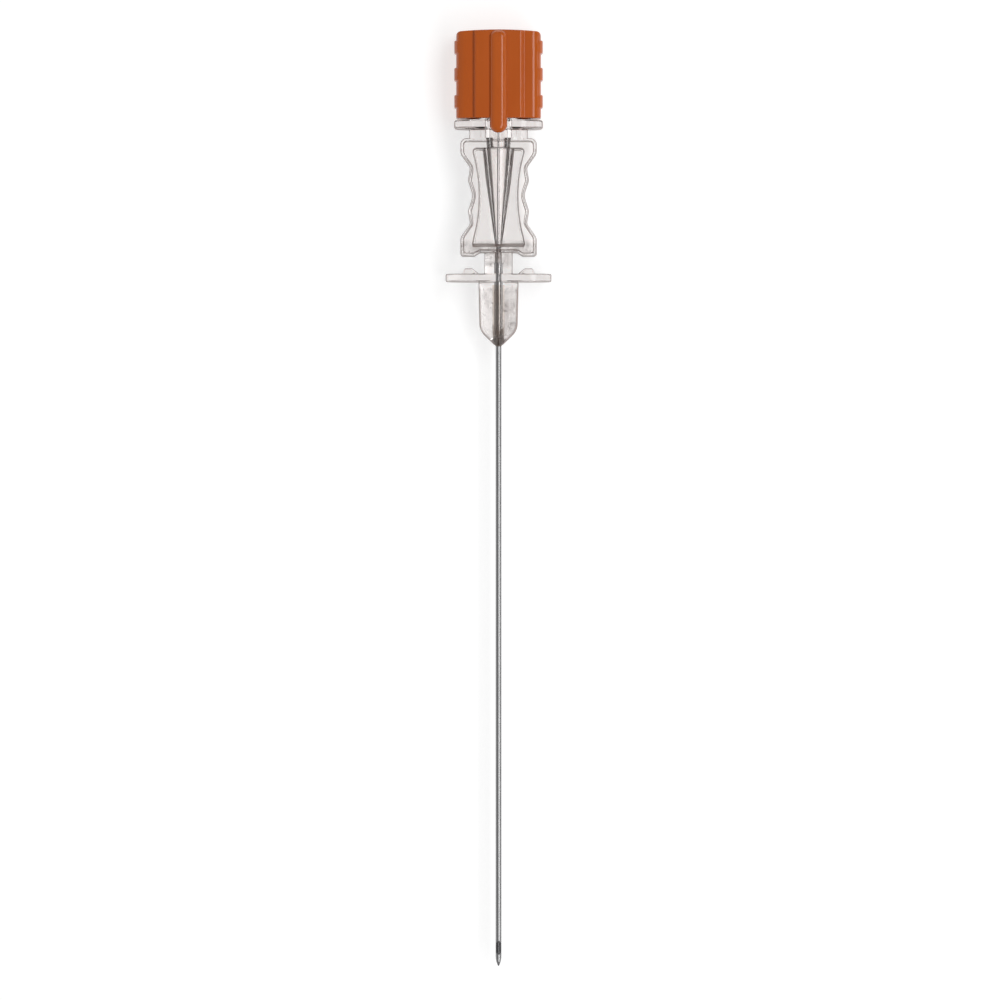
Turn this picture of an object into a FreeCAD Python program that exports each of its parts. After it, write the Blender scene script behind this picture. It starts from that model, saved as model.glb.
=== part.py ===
import FreeCAD, Part

import math
import os

from FreeCAD import Vector

# Spinal needle with its stylet seated, lying on a flat surface.
# X is across the wings, +Y runs from the point to the cap and +Z is up.
# Lengths are in millimetres. Every piece is drawn with the point at 0 on the Y axis,
# and place_at_rest moves it to the part's own origin.

# Lengths along the needle, from the point up
exposed_length = 88.0
nose_length = 8.9
wing_thickness = 1.13
neck_length = 2.93
grip_length = 16.34
barrel_length = 1.2
stop_thickness = 1.35
cap_gap = 0.2
cap_length = 12.5

# Height of the axis over the surface that the needle lies on
rest_height = 4.5

# Cannula, with a pencil point and a side eye
cannula_diameter = 0.81
cannula_bore = 0.545
point_length = 1.43
point_nose_radius = 0.05
eye_offset = 0.19
eye_flat_length = 1.16
eye_lower_ramp = 0.37
eye_upper_ramp = 0.49
eye_flat_height = 0.14
cannula_in_hub = 11.6
key_groove_start = 0.1
key_groove_length = 0.7
key_groove_depth = 0.03

# Stylet wire
wire_clearance = 0.035
wire_end_gap = 0.06
wire_in_cap = 8.4

# Nose of the hub and the bond
nose_root_diameter = 5.7
nose_shoulder_diameter = 5.45
nose_end_diameter = 1.35
nose_cone_angle = 45.0
nose_shoulder_radius = 2.4
bond_thickness = 0.17
bond_length = 8.5
bond_fillet = 0.22
seat_clearance = 0.01

# Finger wings
wing_span = 15.0
wing_corner = 3.2
wing_end_radius = 0.5
hump_outer = 5.15
hump_inner = 2.5
hump_height = 0.82
hump_top_outer = 4.85
hump_top_inner = 3.75
hump_depth = 6.4
hump_radius = 0.35

# Neck and lumen
neck_diameter = 4.0
throat_diameter = 0.7
throat_top_height = 1.5
funnel_wall = 0.52
tube_foot_wall = 0.65

# Grip between the neck and the barrel
grip_depth = 6.4
grip_end_width = 10.86
grip_side_width = 8.1
grip_crest_width = 8.7
grip_valley_width = 7.3
grip_end_length = 2.25
grip_flare_length = 1.95
grip_crest_share = 0.54
grip_top_corner = 0.9
grip_bottom_corner = 0.5
grip_flare_radius = 1.5
grip_side_radius = 0.8
grip_crest_radius = 1.2
grip_valley_radius = 2.0
grip_droop = 0.5
droop_start = 2.6
droop_end = 3.4
grip_top_plate = 1.6
grip_bottom_plate = 1.42
grip_edge_bevel = 0.3
web_thickness = 1.0
window_end_width = 7.3
window_waist_width = 5.3
window_corner = 0.5

# Barrel and stop flange
barrel_width = 8.3
barrel_corner = 2.2
key_slot_width = 4.96
key_slot_depth = 0.5
stop_width = 12.6
stop_depth = 8.4
stop_corner = 3.4
stop_end_radius = 0.6
notch_clearance = 0.33
notch_floor_gap = 0.4
cheek_width = 0.55
cheek_height = 0.1

# Luer socket, 6 per cent taper
luer_mouth_diameter = 4.27
luer_taper = 0.06
luer_depth = 7.5
luer_outer_diameter = 6.5
lug_span = 7.8
lug_width = 3.2
lug_thickness = 1.3
lug_lead = 0.4

# Stylet cap
cap_width = 12.0
cap_slab_depth = 7.5
cap_slab_radius = 1.3
cap_crown = 0.3
cap_top_radius = 0.7
boss_width = 6.9
boss_radius = 0.45
boss_root_radius = 0.25
cap_wall = 0.95
cap_roof = 1.2
cavity_width = 9.2
cavity_corner = 3.0
band_count = 3
band_pitch = 3.85
band_length = 1.9
band_height = 0.28
band_radius = 0.25
band_first = 2.35
rib_width = 2.5
rib_height = 0.8
rib_edge_radius = 0.6
rib_end_radius = 1.2
rib_top_margin = 0.15
key_reach = 0.55
plug_clearance = 0.1
plug_depth = 6.0
plug_end_chamfer = 0.3

# Stations along the needle
nose_end = exposed_length
wing_bottom = nose_end + nose_length
wing_top = wing_bottom + wing_thickness
grip_bottom = wing_top + neck_length
grip_top = grip_bottom + grip_length
stop_bottom = grip_top + barrel_length
stop_top = stop_bottom + stop_thickness
luer_mouth = stop_top + luer_depth
cap_bottom = stop_top + cap_gap
cap_top = cap_bottom + cap_length
cannula_top = nose_end + cannula_in_hub
groove_bottom = nose_end - key_groove_start
groove_middle = groove_bottom + key_groove_length / 2
groove_top = groove_bottom + key_groove_length
window_bottom = grip_bottom + grip_bottom_plate
window_top = grip_top - grip_top_plate
waist = (grip_bottom + grip_top) / 2
flare_reach = grip_length / 2 - grip_end_length
side_reach = flare_reach - grip_flare_length
crest_reach = side_reach * grip_crest_share

# Sizes shared by pieces that fit together
cannula_radius = cannula_diameter / 2
bore_radius = cannula_bore / 2
wire_radius = bore_radius - wire_clearance
bore_end = point_length + eye_offset / 2
wire_start = bore_end + wire_end_gap
funnel_top_radius = luer_mouth_diameter / 2 - luer_taper * luer_depth / 2
cavity_depth = 2 * (rest_height - cap_wall)
key_back = rest_height - cap_wall
groove_radius = cannula_radius - key_groove_depth
boss_front = rest_height
rib_front = boss_front + rib_height


def corner_arc(before, corner, after, radius):
    """Start, middle and end of the arc that rounds a corner tangentially."""
    back = before - corner
    ahead = after - corner
    back.normalize()
    ahead.normalize()
    half_angle = back.getAngle(ahead) / 2
    reach = radius / math.tan(half_angle)
    inward = back + ahead
    inward.normalize()
    middle = corner + inward * (radius / math.sin(half_angle) - radius)
    return corner + back * reach, middle, corner + ahead * reach


def rounded_face(corners, to_space):
    """A flat face inside the corners (a, b, radius), each corner rounded by a tangent arc."""
    points = [to_space(a, b) for a, b, radius in corners]
    count = len(points)
    turns = []
    for index in range(count):
        radius = corners[index][2]
        point = points[index]
        if radius > 0:
            turns.append(corner_arc(points[index - 1], point, points[(index + 1) % count], radius))
        else:
            turns.append((point, None, point))
    edges = []
    for index in range(count):
        start, middle, end = turns[index]
        if middle:
            edges.append(Part.Arc(start, middle, end).toShape())
        following = turns[(index + 1) % count][0]
        if end.distanceToPoint(following) > 1e-6:
            edges.append(Part.LineSegment(end, following).toShape())
    return Part.Face(Part.Wire(edges))


def side_space(x, y):
    """A point of an outline seen from the front."""
    return Vector(x, y, 0)


def turned(corners):
    """A solid turned about the needle's axis from corners (radius, height, rounding)."""
    return rounded_face(corners, side_space).revolve(Vector(0, 0, 0), Vector(0, 1, 0), 360)


def slab(corners, depth):
    """A front outline given an even depth on both sides of the axis."""
    face = rounded_face(corners, side_space)
    face.translate(Vector(0, 0, -depth / 2))
    return face.extrude(Vector(0, 0, depth))


def plate(width, depth, corner, bottom, top):
    """A flat plate across the needle, seen along its axis as a rectangle with round corners."""
    x = width / 2
    z = depth / 2
    corners = [(-x, -z, corner), (x, -z, corner), (x, z, corner), (-x, z, corner)]
    face = rounded_face(corners, lambda a, b: Vector(a, bottom, b))
    return face.extrude(Vector(0, top - bottom, 0))


def block(x_low, x_high, y_low, y_high, z_low, z_high):
    """A plain block between two corners, used to cut and to join."""
    corner = Vector(x_low, y_low, z_low)
    return Part.makeBox(x_high - x_low, y_high - y_low, z_high - z_low, corner)


def edges_along_depth(solid):
    """The straight edges of a solid that run from front to back."""
    return [edge for edge in solid.Edges if edge.BoundBox.XLength + edge.BoundBox.YLength < 1e-4]


def axis_cylinder(radius, bottom, top):
    """A cylinder on the needle's axis."""
    return Part.makeCylinder(radius, top - bottom, Vector(0, bottom, 0), Vector(0, 1, 0))


def axis_cone(bottom_radius, top_radius, bottom, top):
    """A cone on the needle's axis."""
    return Part.makeCone(bottom_radius, top_radius, top - bottom, Vector(0, bottom, 0), Vector(0, 1, 0))


# Cannula

def pencil_point():
    """The closed point: an ogive that leaves the tube tangentially, with a slightly blunt end."""
    start = Vector(cannula_radius, point_length, 0)
    end = Vector(point_nose_radius, 0.0, 0)
    across = start.x - end.x
    radius = (across ** 2 + point_length ** 2) / (2 * across)
    centre_x = start.x - radius
    turn = math.asin(point_length / radius) / 2
    middle = Vector(centre_x + radius * math.cos(turn), point_length - radius * math.sin(turn), 0)
    foot = Vector(0, 0, 0)
    top = Vector(0, point_length, 0)
    outline = [
        Part.Arc(start, middle, end).toShape(),
        Part.LineSegment(end, foot).toShape(),
        Part.LineSegment(foot, top).toShape(),
        Part.LineSegment(top, start).toShape(),
    ]
    return Part.Face(Part.Wire(outline)).revolve(Vector(0, 0, 0), Vector(0, 1, 0), 360)


def eye_cutter():
    """The side eye, ground into the tube from the front with a ramp at each end."""
    low = point_length + eye_offset
    flat_low = low + eye_lower_ramp
    flat_high = flat_low + eye_flat_length
    high = flat_high + eye_upper_ramp
    over = cannula_radius * 1.5
    lower_slope = (cannula_radius - eye_flat_height) / eye_lower_ramp
    upper_slope = (cannula_radius - eye_flat_height) / eye_upper_ramp
    lead = over - cannula_radius
    profile = [
        (low - lead / lower_slope, over, 0),
        (flat_low, eye_flat_height, eye_lower_ramp / 2),
        (flat_high, eye_flat_height, eye_upper_ramp / 2),
        (high + lead / upper_slope, over, 0),
    ]
    face = rounded_face(profile, lambda y, z: Vector(-cannula_diameter, y, z))
    return face.extrude(Vector(2 * cannula_diameter, 0, 0))


def make_cannula():
    """The steel tube, with a shallow groove just inside the nose that keys the bond."""
    outline = [
        (0, point_length, 0),
        (cannula_radius, point_length, 0),
        (cannula_radius, groove_bottom, 0),
        (groove_radius, groove_middle, 0),
        (cannula_radius, groove_top, 0),
        (cannula_radius, cannula_top, 0),
        (0, cannula_top, 0),
    ]
    bore = axis_cylinder(bore_radius, bore_end, cannula_top)
    steel = pencil_point().fuse(turned(outline)).removeSplitter()
    return steel.cut(bore).cut(eye_cutter())


# Hub

def make_nose():
    """The bullet nose, solid round the cannula."""
    end_radius = nose_end_diameter / 2
    shoulder = nose_shoulder_diameter / 2
    rise = (shoulder - end_radius) / math.tan(math.radians(nose_cone_angle))
    corners = [
        (0, nose_end, 0),
        (end_radius, nose_end, 0),
        (shoulder, nose_end + rise, nose_shoulder_radius),
        (nose_root_diameter / 2, wing_bottom, 0),
        (0, wing_bottom, 0),
    ]
    return turned(corners)


def round_ended_plate(width, depth, corner, end_radius, bottom, top):
    """A plate across the needle whose two ends are round in the front view."""
    half = width / 2
    front = [
        (-half, bottom, end_radius),
        (half, bottom, end_radius),
        (half, top, end_radius),
        (-half, top, end_radius),
    ]
    return slab(front, depth).common(plate(width, depth, corner, bottom, top))


def make_wings():
    """The finger wings: a round-ended plate with a finger stop on each side."""
    wings = round_ended_plate(wing_span, 2 * rest_height, wing_corner, wing_end_radius, wing_bottom, wing_top)
    foot = wing_bottom + wing_thickness / 2
    crest = wing_top + hump_height
    for side in (-1, 1):
        stop = [
            (side * hump_outer, foot, 0),
            (side * hump_top_outer, crest, hump_radius),
            (side * hump_top_inner, crest, hump_radius),
            (side * hump_inner, foot, 0),
        ]
        wings = wings.fuse(slab(stop, hump_depth))
    return wings


def grip_corners():
    """The waisted front outline of the grip, with two finger waves on each side."""
    end = grip_end_width / 2
    side = grip_side_width / 2
    crest = grip_crest_width / 2
    valley = grip_valley_width / 2
    low = grip_bottom - grip_droop
    right = [
        (end, low, grip_bottom_corner),
        (end, waist - flare_reach, grip_flare_radius),
        (side, waist - side_reach, grip_side_radius),
        (crest, waist - crest_reach, grip_crest_radius),
        (valley, waist, grip_valley_radius),
        (crest, waist + crest_reach, grip_crest_radius),
        (side, waist + side_reach, grip_side_radius),
        (end, waist + flare_reach, grip_flare_radius),
        (end, grip_top, grip_top_corner),
    ]
    left = [(-x, y, radius) for x, y, radius in reversed(right)]
    droop = [
        (-droop_end, low, 0),
        (-droop_start, grip_bottom, 0),
        (droop_start, grip_bottom, 0),
        (droop_end, low, 0),
    ]
    return right + left + droop


def window_cutter(side):
    """The recess in the front or back of the grip, which leaves the thin web between."""
    end = window_end_width / 2
    middle = window_waist_width / 2
    corners = [
        Vector(end, window_bottom, 0),
        Vector(end, window_top, 0),
        Vector(-end, window_top, 0),
        Vector(-end, window_bottom, 0),
    ]
    right = Part.Arc(corners[0], Vector(middle, waist, 0), corners[1]).toShape()
    top = Part.LineSegment(corners[1], corners[2]).toShape()
    left = Part.Arc(corners[2], Vector(-middle, waist, 0), corners[3]).toShape()
    bottom = Part.LineSegment(corners[3], corners[0]).toShape()
    face = Part.Face(Part.Wire([right, top, left, bottom]))
    face.translate(Vector(0, 0, side * web_thickness / 2))
    recess = face.extrude(Vector(0, 0, side * grip_depth))
    return recess.makeFillet(window_corner, edges_along_depth(recess))


def make_grip():
    """The grip: bevelled round its sides and top, recessed front and back, with the funnel tube."""
    grip = slab(grip_corners(), grip_depth)
    rims = []
    for edge in grip.Edges:
        box = edge.BoundBox
        if box.ZLength < 1e-4 and box.YMax > grip_bottom + grip_bottom_plate:
            rims.append(edge)
    grip = grip.makeChamfer(grip_edge_bevel, rims)
    for side in (-1, 1):
        grip = grip.cut(window_cutter(side))
    tube = axis_cone(
        throat_diameter / 2 + tube_foot_wall,
        funnel_top_radius + funnel_wall,
        window_bottom,
        grip_top,
    )
    return grip.fuse(tube)


def make_barrel():
    """The short barrel under the stop flange, with the slot that the key hangs in."""
    barrel = plate(barrel_width, grip_depth, barrel_corner, grip_top, stop_bottom)
    front = grip_depth / 2
    half = key_slot_width / 2
    slot = block(-half, half, grip_top, stop_bottom, front - key_slot_depth, front + key_slot_depth)
    return barrel.cut(slot)


def make_stop():
    """The stop flange, with the notch that the key goes through and a cheek on each side of it."""
    stop = round_ended_plate(stop_width, stop_depth, stop_corner, stop_end_radius, stop_bottom, stop_top)
    half = rib_width / 2 + notch_clearance
    outer = half + cheek_width
    cheeks = block(-outer, outer, stop_bottom, stop_top + cheek_height, 0, stop_depth / 2)
    floor = key_back - notch_floor_gap
    notch = block(-half, half, stop_bottom, stop_top + cheek_height, floor, stop_depth)
    return stop.fuse(cheeks).cut(notch)


def make_luer_socket():
    """The socket that a syringe or a spinal set goes on, with its two lugs."""
    socket = axis_cylinder(luer_outer_diameter / 2, stop_top, luer_mouth)
    half = lug_width / 2
    reach = lug_span / 2
    lug_bottom = luer_mouth - lug_thickness
    lugs = [
        (-reach, lug_bottom + lug_lead, 0),
        (-reach + lug_lead, lug_bottom, 0),
        (reach - lug_lead, lug_bottom, 0),
        (reach, lug_bottom + lug_lead, 0),
        (reach, luer_mouth, 0),
        (-reach, luer_mouth, 0),
    ]
    return socket.fuse(slab(lugs, 2 * half))


def make_lumen():
    """The way through the hub: luer taper, funnel, throat, cannula seat and the well for the bond."""
    mouth_radius = luer_mouth_diameter / 2
    throat_top = grip_bottom + throat_top_height
    throat_radius = throat_diameter / 2
    seat_radius = cannula_radius + seat_clearance
    bond_radius = cannula_radius + bond_thickness
    bond_top = nose_end + bond_length
    outline = [
        (0, nose_end, 0),
        (bond_radius, nose_end, 0),
        (bond_radius, bond_top, 0),
        (seat_radius, bond_top, 0),
        (seat_radius, cannula_top, 0),
        (throat_radius, cannula_top, 0),
        (throat_radius, throat_top, 0),
        (funnel_top_radius, grip_top, 0),
        (funnel_top_radius, stop_top, 0),
        (mouth_radius, luer_mouth, 0),
        (0, luer_mouth, 0),
    ]
    return turned(outline)


def make_hub():
    neck = axis_cylinder(neck_diameter / 2, wing_top, grip_bottom)
    hub = make_nose()
    for piece in (make_wings(), neck, make_grip(), make_barrel(), make_stop(), make_luer_socket()):
        hub = hub.fuse(piece)
    return hub.cut(make_lumen())


# Bond

def make_adhesive():
    """The ring of adhesive between the cannula and the nose, with a small fillet outside."""
    bond_radius = cannula_radius + bond_thickness
    outline = [
        (cannula_radius, nose_end - bond_fillet, 0),
        (bond_radius, nose_end, 0),
        (bond_radius, nose_end + bond_length, 0),
        (cannula_radius, nose_end + bond_length, 0),
        (cannula_radius, groove_top, 0),
        (groove_radius, groove_middle, 0),
        (cannula_radius, groove_bottom, 0),
    ]
    return turned(outline)


# Stylet

def make_wire():
    top = luer_mouth - plug_depth + wire_in_cap
    return axis_cylinder(wire_radius, wire_start, top)


def cap_section():
    """The cap seen along the needle: a slab with round sides, and a flat boss front and back."""
    side = cap_width / 2
    face = cap_slab_depth / 2
    boss = boss_width / 2
    quarter = [
        (boss, rest_height, boss_radius),
        (boss, face, boss_root_radius),
        (side, face, cap_slab_radius),
    ]
    front_right = quarter
    back_right = [(x, -z, radius) for x, z, radius in reversed(quarter)]
    back_left = [(-x, -z, radius) for x, z, radius in quarter]
    front_left = [(-x, z, radius) for x, z, radius in reversed(quarter)]
    return front_right + back_right + back_left + front_left


def cap_front():
    """The cap's front outline as a block: straight sides and a gently crowned top."""
    side = cap_width / 2
    shoulder = cap_top - cap_crown
    low_left = Vector(-side, cap_bottom, -rest_height)
    low_right = Vector(side, cap_bottom, -rest_height)
    high_right = Vector(side, shoulder, -rest_height)
    high_left = Vector(-side, shoulder, -rest_height)
    crown = Part.Arc(high_right, Vector(0, cap_top, -rest_height), high_left)
    outline = [
        Part.LineSegment(low_left, low_right).toShape(),
        Part.LineSegment(low_right, high_right).toShape(),
        crown.toShape(),
        Part.LineSegment(high_left, low_left).toShape(),
    ]
    body = Part.Face(Part.Wire(outline)).extrude(Vector(0, 0, 2 * rest_height))
    corners = [edge for edge in edges_along_depth(body) if edge.BoundBox.YMin > cap_bottom + cap_length / 2]
    return body.makeFillet(cap_top_radius, corners)


def make_bands():
    """The raised grip bands on the two side faces of the cap."""
    inner = cap_width / 2 - cap_slab_radius
    outer = cap_width / 2 + band_height
    wrap = plate(2 * outer, cap_slab_depth, cap_slab_radius + band_height, cap_bottom, cap_top)
    bands = []
    for side in (-1, 1):
        for number in range(band_count):
            middle = cap_bottom + band_first + number * band_pitch
            low = middle - band_length / 2
            high = middle + band_length / 2
            front = [
                (side * inner, low, 0),
                (side * outer, low, band_radius),
                (side * outer, high, band_radius),
                (side * inner, high, 0),
            ]
            bands.append(slab(front, cap_slab_depth).common(wrap))
    return bands


def make_rib():
    """The rounded rib down the front of the cap, which runs on past the rim as the key."""
    half = rib_width / 2
    low = stop_bottom - key_reach
    high = cap_top - rib_top_margin
    front = [
        (-half, low, rib_end_radius),
        (half, low, rib_end_radius),
        (half, high, rib_end_radius / 2),
        (-half, high, rib_end_radius / 2),
    ]
    face = rounded_face(front, side_space)
    face.translate(Vector(0, 0, key_back))
    rib = face.extrude(Vector(0, 0, rib_front - key_back))
    rims = [edge for edge in rib.Edges if abs(edge.BoundBox.ZMin - rib_front) < 1e-4]
    return rib.makeFillet(rib_edge_radius, rims)


def make_plug():
    """The tapered plug that centres the cap in the luer socket and holds the wire."""
    bottom = luer_mouth - plug_depth
    mouth_radius = luer_mouth_diameter / 2 - plug_clearance
    end_radius = mouth_radius - luer_taper * plug_depth / 2
    roof = cap_top - cap_roof
    outline = [
        (0, bottom, 0),
        (end_radius - plug_end_chamfer, bottom, 0),
        (end_radius, bottom + plug_end_chamfer, 0),
        (mouth_radius, luer_mouth, 0),
        (mouth_radius, roof, 0),
        (0, roof, 0),
    ]
    return turned(outline)


def make_cap():
    section = rounded_face(cap_section(), lambda a, b: Vector(a, cap_bottom, b))
    cap = section.extrude(Vector(0, cap_length, 0)).common(cap_front())
    for band in make_bands():
        cap = cap.fuse(band)
    cap = cap.fuse(make_rib())
    cap = cap.cut(plate(cavity_width, cavity_depth, cavity_corner, cap_bottom, cap_top - cap_roof))
    cap = cap.fuse(make_plug())
    wire_bottom = luer_mouth - plug_depth
    return cap.cut(axis_cylinder(wire_radius, wire_bottom, wire_bottom + wire_in_cap))


def place_at_rest(shape):
    """Moves a piece to the part's origin: middle of the length, on the surface it lies on."""
    placed = shape.removeSplitter()
    placed.translate(Vector(0, -cap_top / 2, rest_height))
    return placed


pieces = {
    "cannula": make_cannula,
    "hub": make_hub,
    "adhesive": make_adhesive,
    "stylet_wire": make_wire,
    "stylet_cap": make_cap,
}

os.makedirs("parts", exist_ok=True)
for name, make_piece in pieces.items():
    piece = place_at_rest(make_piece())
    if not piece.isValid() or len(piece.Solids) != 1:
        raise ValueError(name + " isn't one valid solid")
    solid = piece.Solids[0]
    solid.exportStep("parts/" + name + ".step")
    box = solid.BoundBox
    print(
        name,
        "volume %.3f" % solid.Volume,
        "box %.2f %.2f %.2f to %.2f %.2f %.2f" % (box.XMin, box.YMin, box.ZMin, box.XMax, box.YMax, box.ZMax),
    )
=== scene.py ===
import math

import bmesh
import bpy
import numpy as np
from mathutils import Matrix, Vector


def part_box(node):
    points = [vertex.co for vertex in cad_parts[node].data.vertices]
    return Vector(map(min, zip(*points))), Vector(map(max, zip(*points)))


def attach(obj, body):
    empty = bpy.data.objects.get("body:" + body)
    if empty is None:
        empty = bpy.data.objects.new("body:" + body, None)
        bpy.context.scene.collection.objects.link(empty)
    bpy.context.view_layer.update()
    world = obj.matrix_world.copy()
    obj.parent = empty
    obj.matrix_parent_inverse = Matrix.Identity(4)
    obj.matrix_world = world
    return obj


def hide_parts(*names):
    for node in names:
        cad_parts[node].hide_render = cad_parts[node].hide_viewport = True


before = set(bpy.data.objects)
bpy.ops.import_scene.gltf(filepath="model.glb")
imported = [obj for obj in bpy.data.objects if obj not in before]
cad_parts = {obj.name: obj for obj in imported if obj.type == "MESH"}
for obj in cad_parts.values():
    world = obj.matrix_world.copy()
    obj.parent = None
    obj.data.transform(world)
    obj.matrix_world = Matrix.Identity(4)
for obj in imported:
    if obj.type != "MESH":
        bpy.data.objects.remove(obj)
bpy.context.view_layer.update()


# Cannula
# The thin stainless tube, drawn to size, closed to a pencil point at one end and ground open at the side eye.
# It lies along Y with its eye up. A shallow groove near its top end is where the adhesive takes hold of it.

class Socket:
    """One output socket, so that shader maths reads as an ordinary sum."""

    def __init__(self, tree, socket):
        self.tree = tree
        self.socket = socket

    def maths(self, operation, *values):
        return node(self.tree, "ShaderNodeMath", {"operation": operation}, dict(enumerate(values)))

    def __add__(self, other):
        return self.maths("ADD", self, other)

    def __radd__(self, other):
        return self.maths("ADD", other, self)

    def __sub__(self, other):
        return self.maths("SUBTRACT", self, other)

    def __rsub__(self, other):
        return self.maths("SUBTRACT", other, self)

    def __mul__(self, other):
        return self.maths("MULTIPLY", self, other)

    def __rmul__(self, other):
        return self.maths("MULTIPLY", other, self)


def node(tree, kind, settings=None, inputs=None, output=0):
    """Adds one node, sets it and gives its sockets their values or links."""
    made = tree.nodes.new(kind)
    for name, value in (settings or {}).items():
        setattr(made, name, value)
    for name, value in (inputs or {}).items():
        if isinstance(value, Socket):
            tree.links.new(value.socket, made.inputs[name])
        else:
            made.inputs[name].default_value = value
    return Socket(tree, made.outputs[output]) if made.outputs else None


def new_material(name):
    """An empty material and its node tree."""
    material = bpy.data.materials.new(name)
    material.use_nodes = True
    material.node_tree.nodes.clear()
    return material, material.node_tree


def stretched_noise(tree, stretch, detail):
    """Noise on the object's own coordinates, drawn out by a factor for each axis."""
    place = node(tree, "ShaderNodeTexCoord", output="Object")
    drawn_out = node(tree, "ShaderNodeMapping", None, {"Vector": place, "Scale": stretch})
    return node(tree, "ShaderNodeTexNoise", None, {"Vector": drawn_out, "Scale": 1.0, "Detail": detail})


def smooth_step(tree, value, start, end, low=0.0, high=1.0):
    """A soft change from low to high while the value goes from start to end."""
    settings = {"interpolation_type": "SMOOTHSTEP"}
    return node(tree, "ShaderNodeMapRange", settings, {0: value, 1: start, 2: end, 3: low, 4: high})


def blend_colours(tree, share, first, second):
    """The first colour, giving way to the second as share goes from 0 to 1."""
    colours = {0: share}
    for place, colour in ((6, first), (7, second)):
        colours[place] = colour if isinstance(colour, Socket) else (*colour, 1.0)
    return node(tree, "ShaderNodeMix", {"data_type": "RGBA"}, colours, output=2)


def fine_relief(tree, height, strength, distance):
    """Small bumps that follow the height, up to this distance in metres."""
    return node(tree, "ShaderNodeBump", None, {"Strength": strength, "Distance": distance, "Height": height})


def body_shader(tree, inputs):
    """The shader of a solid surface."""
    return node(tree, "ShaderNodeBsdfPrincipled", None, inputs)


def show(tree, shader):
    """Gives the material this shader."""
    node(tree, "ShaderNodeOutputMaterial", None, {"Surface": shader})


def mesh_from(points, faces):
    """A closed mesh, in millimetres, with its faces outwards."""
    mesh = bpy.data.meshes.new("shape")
    mesh.from_pydata([tuple(point) for point in points], [], faces)
    body = bmesh.new()
    body.from_mesh(mesh)
    bmesh.ops.remove_doubles(body, verts=body.verts, dist=1e-5)
    bmesh.ops.recalc_face_normals(body, faces=body.faces)
    bmesh.ops.triangulate(body, faces=[face for face in body.faces if len(face.verts) > 4])
    body.to_mesh(mesh)
    body.free()
    return mesh


def turned(profile, sides=96, ring=False):
    """A solid turned about the needle's axis from (radius, height). A ring's profile closes on itself."""
    points = []
    rings = []
    for radius, height in profile:
        if radius == 0:
            rings.append([len(points)] * sides)
            points.append((0, height, 0))
            continue
        rings.append(list(range(len(points), len(points) + sides)))
        for step in range(sides):
            angle = 2 * math.pi * step / sides
            points.append((radius * math.cos(angle), height, radius * math.sin(angle)))
    pairs = list(zip(rings, rings[1:]))
    if ring:
        pairs.append((rings[-1], rings[0]))
    faces = []
    for low, high in pairs:
        for step in range(sides):
            after = (step + 1) % sides
            corners = [low[step], low[after], high[after], high[step]]
            faces.append(list(dict.fromkeys(corners)))
    return mesh_from(points, faces)


def arc(centre, radius, start, end, steps):
    """Points along an arc, its angles in degrees."""
    angles = np.radians(np.linspace(start, end, steps + 1))
    return [(centre[0] + radius * math.cos(angle), centre[1] + radius * math.sin(angle)) for angle in angles]


def outline(corners, step=7.0):
    """Points round a closed outline of (a, b, radius), its corners rounded with a point every few degrees."""
    points = []
    count = len(corners)
    for index, (a, b, radius) in enumerate(corners):
        corner = np.array((a, b), float)
        back = np.array(corners[index - 1][:2]) - corner
        ahead = np.array(corners[(index + 1) % count][:2]) - corner
        back /= np.linalg.norm(back)
        ahead /= np.linalg.norm(ahead)
        if radius == 0:
            points.append(corner)
            continue
        half = math.acos(float(back @ ahead)) / 2
        inward = (back + ahead) / np.linalg.norm(back + ahead)
        centre = corner + inward * radius / math.sin(half)
        first = corner + back * radius / math.tan(half) - centre
        turn = math.pi - 2 * half
        if back[0] * ahead[1] - back[1] * ahead[0] > 0:
            turn = -turn
        start = math.atan2(first[1], first[0])
        steps = max(2, math.ceil(abs(math.degrees(turn)) / step))
        for number in range(steps + 1):
            angle = start + turn * number / steps
            points.append(centre + radius * np.array((math.cos(angle), math.sin(angle))))
    points = np.array(points)
    apart = np.linalg.norm(points - np.roll(points, 1, axis=0), axis=1) > 1e-4
    points = points[apart]
    ahead = np.roll(points, -1, axis=0)
    area = np.sum(points[:, 0] * ahead[:, 1] - points[:, 1] * ahead[:, 0])
    return points if area > 0 else points[::-1]


def inset(points, distance):
    """The outline moved inwards by the same distance all round."""
    edges = np.roll(points, -1, axis=0) - points
    edges /= np.linalg.norm(edges, axis=1)[:, None]
    inward = np.stack((-edges[:, 1], edges[:, 0]), axis=1)
    before = np.roll(inward, 1, axis=0)
    mitre = (inward + before) / (1 + np.sum(inward * before, axis=1))[:, None]
    return points + mitre * distance


def slab(points, low, high, place, low_rim=0.0, high_rim=0.0, slope=0.0, parting=0.0, steps=5):
    """A solid of this outline, with rounded rims and sides that lean in from the parting level."""
    levels = []
    for number in range(steps + 1):
        angle = math.radians(90 * number / steps)
        levels.append((low_rim * (1 - math.sin(angle)), low + low_rim * (1 - math.cos(angle))))
    if low < parting < high and slope:
        levels.append((0.0, parting))
    for number in range(steps + 1):
        angle = math.radians(90 * number / steps)
        levels.append((high_rim * (1 - math.cos(angle)), high - high_rim * (1 - math.sin(angle))))
    levels = list(dict.fromkeys(levels))
    vertices = []
    for painted_outline, level in levels:
        for a, b in inset(points, painted_outline + slope * abs(level - parting)):
            vertices.append(place(a, b, level))
    count = len(points)
    faces = [list(range(count))[::-1], list(range(count * (len(levels) - 1), count * len(levels)))]
    for row in range(len(levels) - 1):
        for index in range(count):
            after = (index + 1) % count
            low_row = row * count
            high_row = low_row + count
            faces.append([low_row + index, low_row + after, high_row + after, high_row + index])
    return mesh_from(vertices, faces)


def across_width(a, b, level):
    """For a side view extruded across the needle."""
    return (level, a, b)


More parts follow.
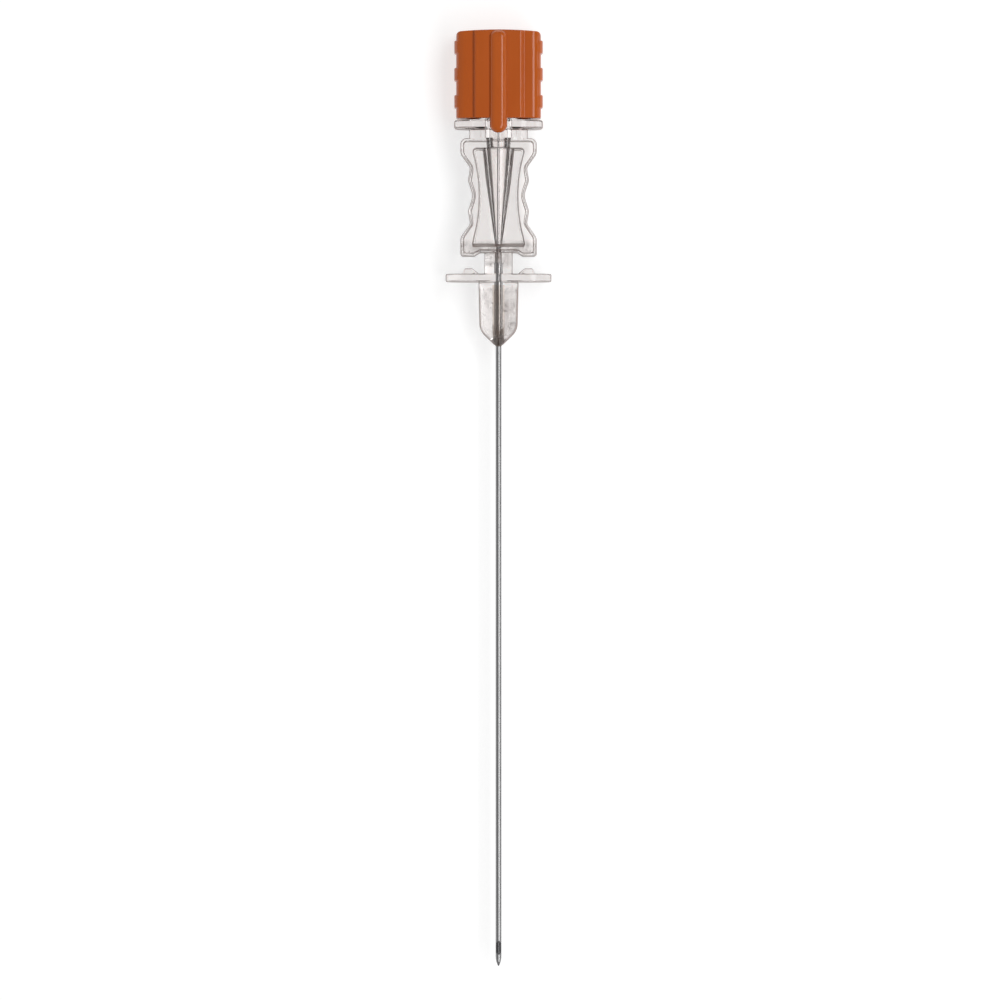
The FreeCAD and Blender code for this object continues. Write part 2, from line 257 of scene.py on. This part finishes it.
def combine(operation, base, *others):
    """Joins solids or cuts them from the first one."""
    work = bpy.data.objects.new("work", base)
    bpy.context.scene.collection.objects.link(work)
    tools = []
    for other in others:
        tool = bpy.data.objects.new("tool", other)
        bpy.context.scene.collection.objects.link(tool)
        modifier = work.modifiers.new("combine", "BOOLEAN")
        modifier.operation = operation
        modifier.solver = "MANIFOLD"
        modifier.object = tool
        tools.append(tool)
    evaluated = work.evaluated_get(bpy.context.evaluated_depsgraph_get())
    result = bpy.data.meshes.new_from_object(evaluated)
    for used in [work] + tools:
        bpy.data.objects.remove(used)
    return result


needle_low, needle_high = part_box("cannula")
axis_height = (needle_low.z + needle_high.z) / 2
to_place = Matrix.Translation((0, needle_low.y, axis_height)) @ Matrix.Scale(0.001, 4)


def finish(name, mesh, body, material, sharp=35.0):
    """Puts a finished mesh where its CAD node is, gives it its material and lets it ride on its body."""
    mesh.transform(to_place)
    mesh.materials.clear()
    mesh.materials.append(material)
    mesh.shade_smooth()
    mesh.set_sharp_from_angle(angle=math.radians(sharp))
    rough = bpy.data.objects.new(name, mesh)
    bpy.context.scene.collection.objects.link(rough)
    weighted = rough.modifiers.new("even shading", "WEIGHTED_NORMAL")
    weighted.keep_sharp = True
    evaluated = rough.evaluated_get(bpy.context.evaluated_depsgraph_get())
    shaded = bpy.data.meshes.new_from_object(evaluated)
    bpy.data.objects.remove(rough)
    piece = bpy.data.objects.new(name, shaded)
    bpy.context.scene.collection.objects.link(piece)
    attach(piece, body)
    return piece


tube_radius = 0.405
bore_radius = 0.2725
end_chamfer = 0.03
point_length = 1.43
point_tip = 0.05
tip_flat = point_tip * 0.6
bore_end = point_length + 0.095
cannula_top = 99.6
groove_low, groove_middle, groove_high = 87.9, 88.25, 88.6
groove_radius = tube_radius - 0.03

reach = tube_radius - point_tip
ogive_radius = (reach ** 2 + point_length ** 2) / (2 * reach)
ogive_turn = math.degrees(math.asin(point_length / ogive_radius))
ogive = arc((tube_radius - ogive_radius, point_length), ogive_radius, -ogive_turn, 0, 24)
tube_profile = [(0, 0), (tip_flat, 0)] + ogive
tube_profile += [(tube_radius, groove_low), (groove_radius, groove_middle), (tube_radius, groove_high)]
tube_profile += [(tube_radius, cannula_top - end_chamfer), (tube_radius - end_chamfer, cannula_top)]
tube_profile += [(bore_radius, cannula_top), (bore_radius, bore_end), (0, bore_end)]
tube = turned(tube_profile)

eye_low, eye_high = 1.62, 3.64
eye_flat_low, eye_flat_high = 1.99, 3.15
eye_level = 0.14
eye_half_width = 0.8
above_tube = tube_radius * 1.5
lead = (above_tube - tube_radius) / (tube_radius - eye_level)
eye_side = [
    (eye_low - lead * (eye_flat_low - eye_low), above_tube, 0),
    (eye_flat_low, eye_level, 0.19),
    (eye_flat_high, eye_level, 0.25),
    (eye_high + lead * (eye_high - eye_flat_high), above_tube, 0),
]
eye = slab(outline(eye_side), -eye_half_width, eye_half_width, across_width)
tube = combine("DIFFERENCE", tube, eye)

steel, tree = new_material("drawn steel")
lines = stretched_noise(tree, (9000.0, 160.0, 9000.0), 4.0)
steel_look = {
    "Base Color": blend_colours(tree, lines, (0.29, 0.29, 0.295), (0.43, 0.43, 0.435)),
    "Metallic": 1.0,
    "Roughness": 0.09 + 0.08 * lines,
    "Specular Tint": (0.1, 0.1, 0.1, 1.0),
    "Normal": fine_relief(tree, lines, 0.12, 0.00001),
}
show(tree, body_shader(tree, steel_look))
cannula = finish("cannula_tube", tube, "needle", steel)
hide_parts("cannula")


# Hub
# One clear moulding: bullet nose, finger wings, neck, waisted grip with a web and a funnel tube, and the stop
# flange with the luer socket that the cap covers. Its walls lean a little, as moulded walls do, and its edges
# are rounded.

def along_needle(a, b, level):
    """For an outline seen along the needle and extruded along it."""
    return (a, level, b)


def front_to_back(a, b, level):
    """For a front view extruded through the needle's depth."""
    return (a, b, level)


def upright(half, low, high, low_corner=0.0, high_corner=0.0):
    """A rectangle with its middle on the axis, its corners rounded below and above."""
    low_end = [(-half, low, low_corner), (half, low, low_corner)]
    high_end = [(half, high, high_corner), (-half, high, high_corner)]
    return outline(low_end + high_end)


def plan(width, depth, corner):
    """A rectangle with round corners, seen along the needle."""
    return upright(width / 2, -depth / 2, depth / 2, corner, corner)


def rod(low, high, radius, sides=96):
    """A plain round solid on the needle's axis."""
    return turned([(0, low), (radius, low), (radius, high), (0, high)], sides)


nose_end, wing_low, wing_high = 88.0, 96.9, 98.03
grip_low, grip_high = 100.96, 117.3
stop_low, stop_high = 118.5, 119.85
luer_mouth = 127.35
waist = (grip_low + grip_high) / 2
wall_slope = math.tan(math.radians(3.5))

mouth_flat, mouth_radius, mouth_chamfer = 0.6, 0.66, 0.03
cone_foot_radius, nose_radius, nose_root_radius = 0.675, 2.725, 2.85
shoulder_radius = 2.4
cone_turn = 45.0
nose_top = wing_low + 0.2
cone_height = nose_radius - cone_foot_radius
half_turn = math.radians((90 - cone_turn) / 2)
shoulder_rise = shoulder_radius * math.tan(half_turn)
shoulder_centre = (nose_radius - shoulder_radius, nose_end + cone_height + shoulder_rise)
nose_profile = [(0, nose_end), (mouth_flat, nose_end), (mouth_radius, nose_end + mouth_chamfer)]
nose_profile += arc(shoulder_centre, shoulder_radius, cone_turn - 90, -1.0, 14)
nose_profile += [(nose_root_radius, nose_top), (0, nose_top)]
nose = turned(nose_profile)

wing_span, wing_depth, wing_corner, wing_rim = 14.998, 8.998, 3.2, 0.22
wings = slab(plan(wing_span, wing_depth, wing_corner), wing_low, wing_high, along_needle, wing_rim, wing_rim)

hump_root, hump_top = wing_low + 0.5, wing_high + 0.82
hump_half_depth, hump_rim = 3.2, 0.3
hump_side = [
    (5.3, hump_root, 0),
    (5.15, wing_high, 0.3),
    (4.85, hump_top, 0.5),
    (3.75, hump_top, 0.9),
    (2.75, wing_high, 0.9),
    (2.2, hump_root, 0),
]
humps = []
for side in (-1, 1):
    hump = outline([(side * x, y, radius) for x, y, radius in hump_side])
    humps.append(slab(hump, -hump_half_depth, hump_half_depth, front_to_back, hump_rim, hump_rim))

neck_radius, neck_root = 2.0, 0.4
neck = rod(wing_low + neck_root, grip_low + neck_root, neck_radius)

flare_half, dip_half, crest_half, waist_half = 5.43, 4.05, 4.35, 3.65
flare_reach = (grip_high - grip_low) / 2 - 2.25
dip_reach = flare_reach - 1.95
crest_reach = dip_reach * 0.54
droop_height, droop_corner = 0.5, 0.6
droop_outer, droop_inner = 3.4, 2.6


def grip_outline(border, rounding):
    """The waisted front outline of the grip, or a line that runs inside it at the width of a border."""
    foot = grip_low - droop_height + border
    wave = [
        (flare_half - border, -flare_reach, 1.5 - rounding),
        (dip_half - border, -dip_reach, 0.8 + rounding),
        (crest_half - border, -crest_reach, 1.2 - rounding),
        (waist_half - border, 0.0, 2.0 + rounding),
    ]
    wave += [(x, -y, radius) for x, y, radius in reversed(wave[:-1])]
    right = [(flare_half - border, foot, 0.5)]
    right += [(x, waist + y, radius) for x, y, radius in wave]
    right += [(flare_half - border, grip_high - border, 0.9 - rounding)]
    left = [(-x, y, radius) for x, y, radius in reversed(right)]
    droop = [(-droop_outer, foot, droop_corner), (-droop_inner, foot + droop_height, droop_corner)]
    droop += [(-x, y, radius) for x, y, radius in reversed(droop)]
    return outline(right + left + droop)


half_depth, border_rim = 2.75, 0.3
panel_low, panel_high, panel_slope = 2.6, 3.2, 0.25
border_line = grip_outline(0.0, 0.0)
panel_line = grip_outline(0.4, 0.3)
border = slab(border_line, -half_depth, half_depth, front_to_back, border_rim, border_rim, wall_slope)
panels = []
for side in (1, -1):
    low, high = sorted((side * panel_low, side * panel_high))
    panels.append(slab(panel_line, low, high, front_to_back, slope=panel_slope, parting=side * panel_low))

window_low, window_high = grip_low + 1.42, grip_high - 1.6
window_end_half, window_waist_half = 3.65, 2.65
window_corner, window_rim = 0.4, 0.22
web_half, recess_reach = 0.5, 3.6
ramp_reach, ramp_root = 0.5, 0.7
ramp_low, ramp_high, ramp_half = 0.4, 3.15, 3.8
half_height = (window_high - window_low) / 2
bulge = window_end_half - window_waist_half
bow_radius = (half_height ** 2 + bulge ** 2) / (2 * bulge)
bow_turn = math.degrees(math.asin((half_height - 0.8) / bow_radius))
bow_centre = (window_waist_half + bow_radius, (window_low + window_high) / 2)
bow = [(x, y, 0) for x, y in arc(bow_centre, bow_radius, 180 + bow_turn, 180 - bow_turn, 16)]
window_foot = (window_end_half, window_low - ramp_reach, window_corner)
window_side = [window_foot] + bow + [(window_end_half, window_high, window_corner)]
window = outline(window_side + [(-x, y, radius) for x, y, radius in reversed(window_side)])
recesses = []
ramps = []
for side in (-1, 1):
    web_face = side * web_half
    low, high = sorted((web_face, side * recess_reach))
    rims = (window_rim, 0.0) if side > 0 else (0.0, window_rim)
    recesses.append(slab(window, low, high, front_to_back, *rims, -wall_slope, web_face))
    ramp_side = [
        (window_low - ramp_root, side * ramp_low, 0),
        (window_low, side * ramp_low, 0),
        (window_low - ramp_reach, side * ramp_high, 0),
        (window_low - ramp_root, side * ramp_high, 0),
    ]
    ramps.append(slab(outline(ramp_side), -ramp_half, ramp_half, across_width))

funnel_low, funnel_high = window_low - 0.2, grip_high - 0.3
funnel_low_radius, funnel_high_radius = 0.98, 2.43
funnel_profile = [(0, funnel_low), (funnel_low_radius, funnel_low)]
funnel_profile += [(funnel_high_radius, funnel_high), (0, funnel_high)]
funnel = turned(funnel_profile)

barrel_width, barrel_depth, barrel_corner = 8.3, 6.4, 2.2
barrel_low, barrel_high = grip_high - 0.3, stop_low + 0.3
slot_half, slot_floor, slot_past = 2.48, 2.7, 4.0
barrel = slab(plan(barrel_width, barrel_depth, barrel_corner), barrel_low, barrel_high, along_needle)
key_slot = slab(upright(slot_half, slot_floor, slot_past), grip_high, stop_low, along_needle)
barrel = combine("DIFFERENCE", barrel, key_slot)

stop_width, stop_depth, stop_corner, stop_rim = 12.6, 8.4, 3.4, 0.4
cheek_half, cheek_face, cheek_corner, cheek_rim = 2.13, 4.1, 0.3, 0.12
notch_half, notch_floor, notch_past, notch_corner = 1.58, 3.15, 6.0, 0.3
stop = slab(plan(stop_width, stop_depth, stop_corner), stop_low, stop_high, along_needle, stop_rim, stop_rim)
cheek_line = upright(cheek_half, 0.0, cheek_face, 0.0, cheek_corner)
cheeks = slab(cheek_line, stop_low, stop_high + 0.1, along_needle, cheek_rim, cheek_rim)
notch_line = upright(notch_half, notch_floor, notch_past, notch_corner, 0.0)
notch = slab(notch_line, stop_low - 0.4, stop_high + 0.5, along_needle)

socket_low, socket_radius = stop_high - 0.4, 3.25
socket = rod(socket_low, luer_mouth, socket_radius)
lug_reach, lug_root_reach, lug_half_depth = 3.9, 3.5, 1.6
lug_foot, lug_root = luer_mouth - 0.9, luer_mouth - 1.3
lug_side = [
    (-lug_reach, lug_foot, 0),
    (-lug_root_reach, lug_root, 0),
    (lug_root_reach, lug_root, 0),
    (lug_reach, lug_foot, 0),
    (lug_reach, luer_mouth, 0),
    (-lug_reach, luer_mouth, 0),
]
lugs = slab(outline(lug_side), -lug_half_depth, lug_half_depth, front_to_back)

seat_radius, seat_top = tube_radius - 0.02, cannula_top - 0.005
throat_radius, throat_top = 0.35, grip_low + 1.5
funnel_mouth_radius = 1.78
luer_end_radius, luer_mouth_radius = 1.91, 2.135
lumen_profile = [
    (0, nose_end - 0.5),
    (seat_radius, nose_end - 0.5),
    (seat_radius, seat_top),
    (throat_radius, seat_top),
    (throat_radius, throat_top),
    (funnel_mouth_radius, grip_high),
    (luer_end_radius, grip_high),
    (luer_end_radius, stop_high),
    (luer_mouth_radius, luer_mouth),
    (2.2, luer_mouth + 0.5),
    (0, luer_mouth + 0.5),
]
lumen = turned(lumen_profile)

hub_body = combine("UNION", nose, wings, *humps, neck)
grip = combine("DIFFERENCE", combine("UNION", border, *panels), *recesses)
grip = combine("UNION", grip, *ramps)
hub_body = combine("UNION", hub_body, grip, funnel)
hub_body = combine("UNION", hub_body, barrel, stop, cheeks, socket, lugs)
hub_body = combine("DIFFERENCE", hub_body, notch, lumen)

# Faces of the bore, where the painted dark outlines start earlier and are darker.
bore_share = hub_body.attributes.new("bore", "FLOAT", "FACE")
for polygon in hub_body.polygons:
    place = polygon.center
    wall = np.interp(place.y, (throat_top, grip_high), (throat_radius, luer_end_radius))
    if cannula_top < place.y < grip_high and math.hypot(place.x, place.z) < wall + 0.02:
        bore_share.data[polygon.index].value = 1.0


def height_along(tree):
    """The place along the needle, in metres from its middle."""
    place = node(tree, "ShaderNodeTexCoord", output="Object")
    return node(tree, "ShaderNodeSeparateXYZ", None, {0: place}, "Y")


clear, tree = new_material("clear moulding")
flow = stretched_noise(tree, (420.0, 260.0, 420.0), 2.0)
patches = stretched_noise(tree, (900.0, 500.0, 900.0), 4.0)
specks = stretched_noise(tree, (1700.0, 1100.0, 1700.0), 3.0)
bore = node(tree, "ShaderNodeAttribute", {"attribute_name": "bore"}, output="Fac")
height = height_along(tree)
# The nose and the neck are greyer in random patches, where the dark outline shader is mixed in a little.
nose_share = smooth_step(tree, height, 0.0303, 0.0293)
neck_share = smooth_step(tree, height, 0.0324, 0.0331) * smooth_step(tree, height, 0.0368, 0.0358)
patchy_share = nose_share + neck_share
grey_patches = patchy_share * smooth_step(tree, patches, 0.42, 0.66, 0.06, 0.25)
grey_patches = grey_patches + patchy_share * smooth_step(tree, specks, 0.6, 0.7, 0.0, 0.3)
# Painted shade: a dark diffuse shader is mixed in where the surface turns away from the view. It paints dark
# outline lines along edges and walls, standing in for dark surroundings seen in them. The lines start earlier
# and are darker in the bore, and start earlier on the nose.
facing_away = node(tree, "ShaderNodeLayerWeight", None, {"Blend": 0.5}, output="Facing")
start = 0.56 - 0.38 * bore - 0.12 * nose_share
edge = smooth_step(tree, facing_away, start, start + 0.3 - 0.08 * bore, grey_patches, 0.94)
clear_look = {
    "Base Color": blend_colours(tree, flow, (0.988, 0.95, 0.935), (0.995, 0.968, 0.957)),
    "Roughness": 0.03,
    "IOR": 1.49,
    "Transmission Weight": 1.0,
    "Normal": fine_relief(tree, flow, 0.25, 0.00005),
}
glass = body_shader(tree, clear_look)
painted_outline_colour = blend_colours(tree, bore, (0.2, 0.122, 0.098), (0.09, 0.058, 0.046))
painted_outline = body_shader(tree, {"Base Color": painted_outline_colour, "Roughness": 0.3})
show(tree, node(tree, "ShaderNodeMixShader", None, {0: edge, 1: glass, 2: painted_outline}))
hub = finish("clear_hub", hub_body, "needle", clear)
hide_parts("hub")


# Adhesive
# The cured bond between the tube and the nose, a little brown, with a small meniscus round the tube outside.
# It is run in at the mouth of the nose, and the groove of the tube is where it holds.

bond_radius, bond_inner_radius = 0.575, tube_radius - 0.01
bond_foot, bond_top = nose_end - 0.22, 96.5
fillet = arc((bond_radius, bond_foot), bond_radius - tube_radius, 175, 95, 5)
bond_profile = [(bond_inner_radius, bond_foot)] + fillet
bond_profile += [(bond_radius, nose_end), (bond_radius, bond_top), (bond_inner_radius, bond_top)]
bond = turned(bond_profile, sides=72, ring=True)

cured, tree = new_material("cured adhesive")
spots = stretched_noise(tree, (2500.0, 900.0, 2500.0), 3.0)
mouth = smooth_step(tree, height_along(tree), 0.0252, 0.0218)
brown = blend_colours(tree, spots, (0.10, 0.075, 0.06), (0.20, 0.15, 0.12))
resin = body_shader(tree, {"Base Color": brown, "Roughness": 0.3})
see_through = node(tree, "ShaderNodeBsdfTransparent", None, {"Color": (0.93, 0.9, 0.87, 1.0)})
resin_share = mouth * 0.94 + 0.04 * spots
show(tree, node(tree, "ShaderNodeMixShader", None, {0: resin_share, 1: see_through, 2: resin}))
adhesive = finish("bond", bond, "needle", cured)
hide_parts("adhesive")


# Stylet wire
# A solid stainless wire that fills the bore down to the eye, so that the needle takes no core on its way in.
# Its end, which shows in the eye, is painted dark: painted shade of the bore that it sits in.

wire_radius = 0.2375
wire_low, wire_high = 1.585, 129.75
wire_edge = wire_radius - end_chamfer
wire_sides = 48
wire_profile = [(0, wire_low), (wire_edge, wire_low), (wire_radius, wire_low + end_chamfer)]
wire_profile += [(wire_radius, wire_high - end_chamfer), (wire_edge, wire_high), (0, wire_high)]
wire_body = turned(wire_profile, wire_sides)

bright_wire, tree = new_material("drawn wire")
lines = stretched_noise(tree, (12000.0, 200.0, 12000.0), 3.0)
bright = blend_colours(tree, lines, (0.56, 0.56, 0.57), (0.68, 0.68, 0.69))
# Painted shade: the wire's end in the eye goes near black, standing in for the shade of the bore around it.
eye_shade_share = smooth_step(tree, height_along(tree), -0.0618, -0.0624)
wire_look = {
    "Base Color": blend_colours(tree, eye_shade_share, bright, (0.13, 0.13, 0.135)),
    "Metallic": 1.0,
    "Roughness": 0.22 + 0.12 * lines,
}
show(tree, body_shader(tree, wire_look))
wire = finish("steel_wire", wire_body, "stylet", bright_wire)
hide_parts("stylet_wire")


# Stylet cap
# The orange moulding that holds the wire: a hollow slab with a flat boss front and back, grip bands on its
# sides, and a rib down the front that runs on past the rim as the key.

cap_low, cap_high = 120.05, 132.55
cap_side, cap_face = 6.0, 3.75
boss_half, boss_face = 3.45, 4.5
crown_rise, crown_corner = 0.3, 0.7
end_rim, face_rim = 0.15, 0.35
quarter = [(boss_half, boss_face, 0.41), (boss_half, cap_face, 0.26), (cap_side, cap_face, 1.3)]
section = quarter + [(x, -z, radius) for x, z, radius in reversed(quarter)]
section += [(-x, -z, radius) for x, z, radius in quarter]
section += [(-x, z, radius) for x, z, radius in reversed(quarter)]
cap_body = slab(outline(section), cap_low, cap_high + 1.0, along_needle, end_rim)
crown_radius = (cap_side ** 2 + crown_rise ** 2) / (2 * crown_rise)
crown_turn = math.degrees(math.asin((cap_side - crown_corner) / crown_radius))
crown = arc((0, cap_high - crown_radius), crown_radius, 90 - crown_turn, 90 + crown_turn, 24)
cap_shoulder = cap_high - crown_rise
front = [(cap_side, cap_low - 1.0, 0), (cap_side, cap_shoulder, crown_corner)]
front += [(x, y, 0) for x, y in crown]
front += [(-cap_side, cap_shoulder, crown_corner), (-cap_side, cap_low - 1.0, 0)]
front_solid = slab(outline(front), -boss_face, boss_face, front_to_back, face_rim, face_rim)
cap_body = combine("INTERSECT", cap_body, front_solid)

band_width, band_depth, band_corner, band_rim = 12.56, 7.4, 1.55, 0.24
band_low, band_high = cap_low + 1.4, cap_low + 3.3
band_count, band_pitch = 3, 3.85
band = slab(plan(band_width, band_depth, band_corner), band_low, band_high, along_needle, band_rim, band_rim)


def repeated(mesh, count, pitch, material):
    """Copies of a solid at an even pitch along the needle."""
    group = bpy.data.node_groups.new("grip bands", "GeometryNodeTree")
    kinds = {"Solid": "NodeSocketGeometry", "Count": "NodeSocketInt", "Pitch": "NodeSocketVector"}
    keys = {}
    for title, kind in kinds.items():
        keys[title] = group.interface.new_socket(title, in_out="INPUT", socket_type=kind).identifier
    group.interface.new_socket("Solids", in_out="OUTPUT", socket_type="NodeSocketGeometry")
    given = group.nodes.new("NodeGroupInput")
    inputs = {title: Socket(group, given.outputs[title]) for title in kinds}
    spacing = {"Count": inputs["Count"], "Offset": inputs["Pitch"]}
    line = node(group, "GeometryNodeMeshLine", {"mode": "OFFSET"}, spacing)
    copies = node(group, "GeometryNodeInstanceOnPoints", None, {"Points": line, "Instance": inputs["Solid"]})
    solid = node(group, "GeometryNodeRealizeInstances", None, {0: copies})
    painted = node(group, "GeometryNodeSetMaterial", None, {"Geometry": solid, "Material": material})
    node(group, "NodeGroupOutput", None, {"Solids": painted})
    holder = bpy.data.objects.new("bands", mesh)
    bpy.context.scene.collection.objects.link(holder)
    modifier = holder.modifiers.new("bands", "NODES")
    modifier.node_group = group
    modifier[keys["Count"]] = count
    modifier[keys["Pitch"]] = (0.0, pitch, 0.0)
    evaluated = holder.evaluated_get(bpy.context.evaluated_depsgraph_get())
    result = bpy.data.meshes.new_from_object(evaluated)
    bpy.data.objects.remove(holder)
    return result


orange, tree = new_material("orange moulding")
flow = stretched_noise(tree, (260.0, 120.0, 260.0), 2.0)
grain = stretched_noise(tree, (6000.0, 6000.0, 6000.0), 2.0)
orange_look = {
    "Base Color": blend_colours(tree, flow, (0.46, 0.082, 0.003), (0.54, 0.106, 0.006)),
    "Roughness": 0.15 + 0.07 * flow,
    "Specular IOR Level": 0.5,
    "Normal": fine_relief(tree, grain, 0.15, 0.00002),
}
show(tree, body_shader(tree, orange_look))

bands = repeated(band, band_count, band_pitch, orange)
rib_half, rib_root, rib_face, rib_rim = 1.25, 3.55, 5.298, 0.9
key_low, rib_top = stop_low - 0.55, cap_high - 0.15
rib_line = upright(rib_half, key_low, rib_top, 1.2, 0.95)
rib = slab(rib_line, rib_root, rib_face, front_to_back, 0.0, rib_rim, steps=9)
cavity_width, cavity_depth, cavity_corner, cavity_rim = 9.2, 7.1, 3.0, 0.3
cavity_line = plan(cavity_width, cavity_depth, cavity_corner)
cavity = slab(cavity_line, cap_low - 0.5, cap_high - 1.2, along_needle, 0.0, cavity_rim)
plug_low, plug_top = luer_mouth - 6.0, cap_high - 1.0
plug_radius, plug_end_radius, plug_chamfer = 2.035, 1.855, 0.3
plug_profile = [(0, plug_low), (plug_end_radius - plug_chamfer, plug_low)]
plug_profile += [(plug_end_radius, plug_low + plug_chamfer), (plug_radius, luer_mouth)]
plug_profile += [(plug_radius, plug_top), (0, plug_top)]
plug = turned(plug_profile, sides=72)
wire_hole = rod(plug_low - 0.5, wire_high, wire_radius, wire_sides)

cap_body = combine("UNION", cap_body, bands, rib)
cap_body = combine("DIFFERENCE", cap_body, cavity)
cap_body = combine("UNION", cap_body, plug)
cap_body = combine("DIFFERENCE", cap_body, wire_hole)
cap = finish("orange_cap", cap_body, "stylet", orange)
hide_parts("stylet_cap")


# Floor, light and camera
# A plain white table, soft lamps over it, and a camera that looks straight down as the photograph does.
# The table glows a little, which is what lights the clear hub from below.

floor_half, floor_level = 1.5, -0.00002
corners = [(-floor_half, -floor_half), (floor_half, -floor_half)]
corners += [(floor_half, floor_half), (-floor_half, floor_half)]
floor_mesh = bpy.data.meshes.new("table")
floor_mesh.from_pydata([(x, y, floor_level) for x, y in corners], [], [(0, 1, 2, 3)])
table, tree = new_material("white table")
paper = stretched_noise(tree, (900.0, 900.0, 900.0), 2.0)
table_look = {
    "Base Color": blend_colours(tree, paper, (0.45, 0.45, 0.45), (0.47, 0.47, 0.47)),
    "Roughness": 0.8,
    "Emission Color": (1.0, 1.0, 1.0, 1.0),
    "Emission Strength": 0.67,
}
show(tree, body_shader(tree, table_look))
floor_mesh.materials.append(table)
floor = bpy.data.objects.new("table", floor_mesh)
bpy.context.scene.collection.objects.link(floor)

world = bpy.data.worlds.new("studio")
world.use_nodes = True
tree = world.node_tree
tree.nodes.clear()
direction = node(tree, "ShaderNodeTexCoord", output="Generated")
to_side = node(tree, "ShaderNodeSeparateXYZ", None, {0: direction}, "X")
strength = smooth_step(tree, to_side, -0.9, 0.9, 0.42, 0.15)
sky = node(tree, "ShaderNodeBackground", None, {"Color": (1.0, 1.0, 1.0, 1.0), "Strength": strength})
node(tree, "ShaderNodeOutputWorld", None, {"Surface": sky})
bpy.context.scene.world = world


def lamp(name, place, length, breadth, power):
    """A long soft lamp that runs along the needle and is aimed at the middle of it."""
    light = bpy.data.lights.new(name, "AREA")
    light.shape = "RECTANGLE"
    light.size = length
    light.size_y = breadth
    light.energy = power
    holder = bpy.data.objects.new(name, light)
    holder.location = place
    holder.rotation_euler = (-holder.location).to_track_quat("-Z", "Y").to_euler()
    bpy.context.scene.collection.objects.link(holder)


lamp("key", (0.31, 0.0, 0.71), 1.2, 0.32, 4.6)
lamp("edge", (0.6, 0.0, 0.22), 1.2, 0.05, 0.6)

pixels, pixel_size = 1000, 0.0001417
camera_distance = 1.6
aim_x, aim_y = 0.00021, -0.00025
camera = bpy.data.cameras.new("camera")
camera.sensor_width = 36.0
camera.lens = camera.sensor_width * camera_distance / (pixels * pixel_size)
viewer = bpy.data.objects.new("camera", camera)
viewer.location = (aim_x, aim_y, axis_height + camera_distance)
bpy.context.scene.collection.objects.link(viewer)
bpy.context.scene.camera = viewer
bpy.context.scene.view_settings.view_transform = "Standard"
bpy.context.scene.cycles.max_bounces = 24
bpy.context.scene.cycles.transmission_bounces = 24
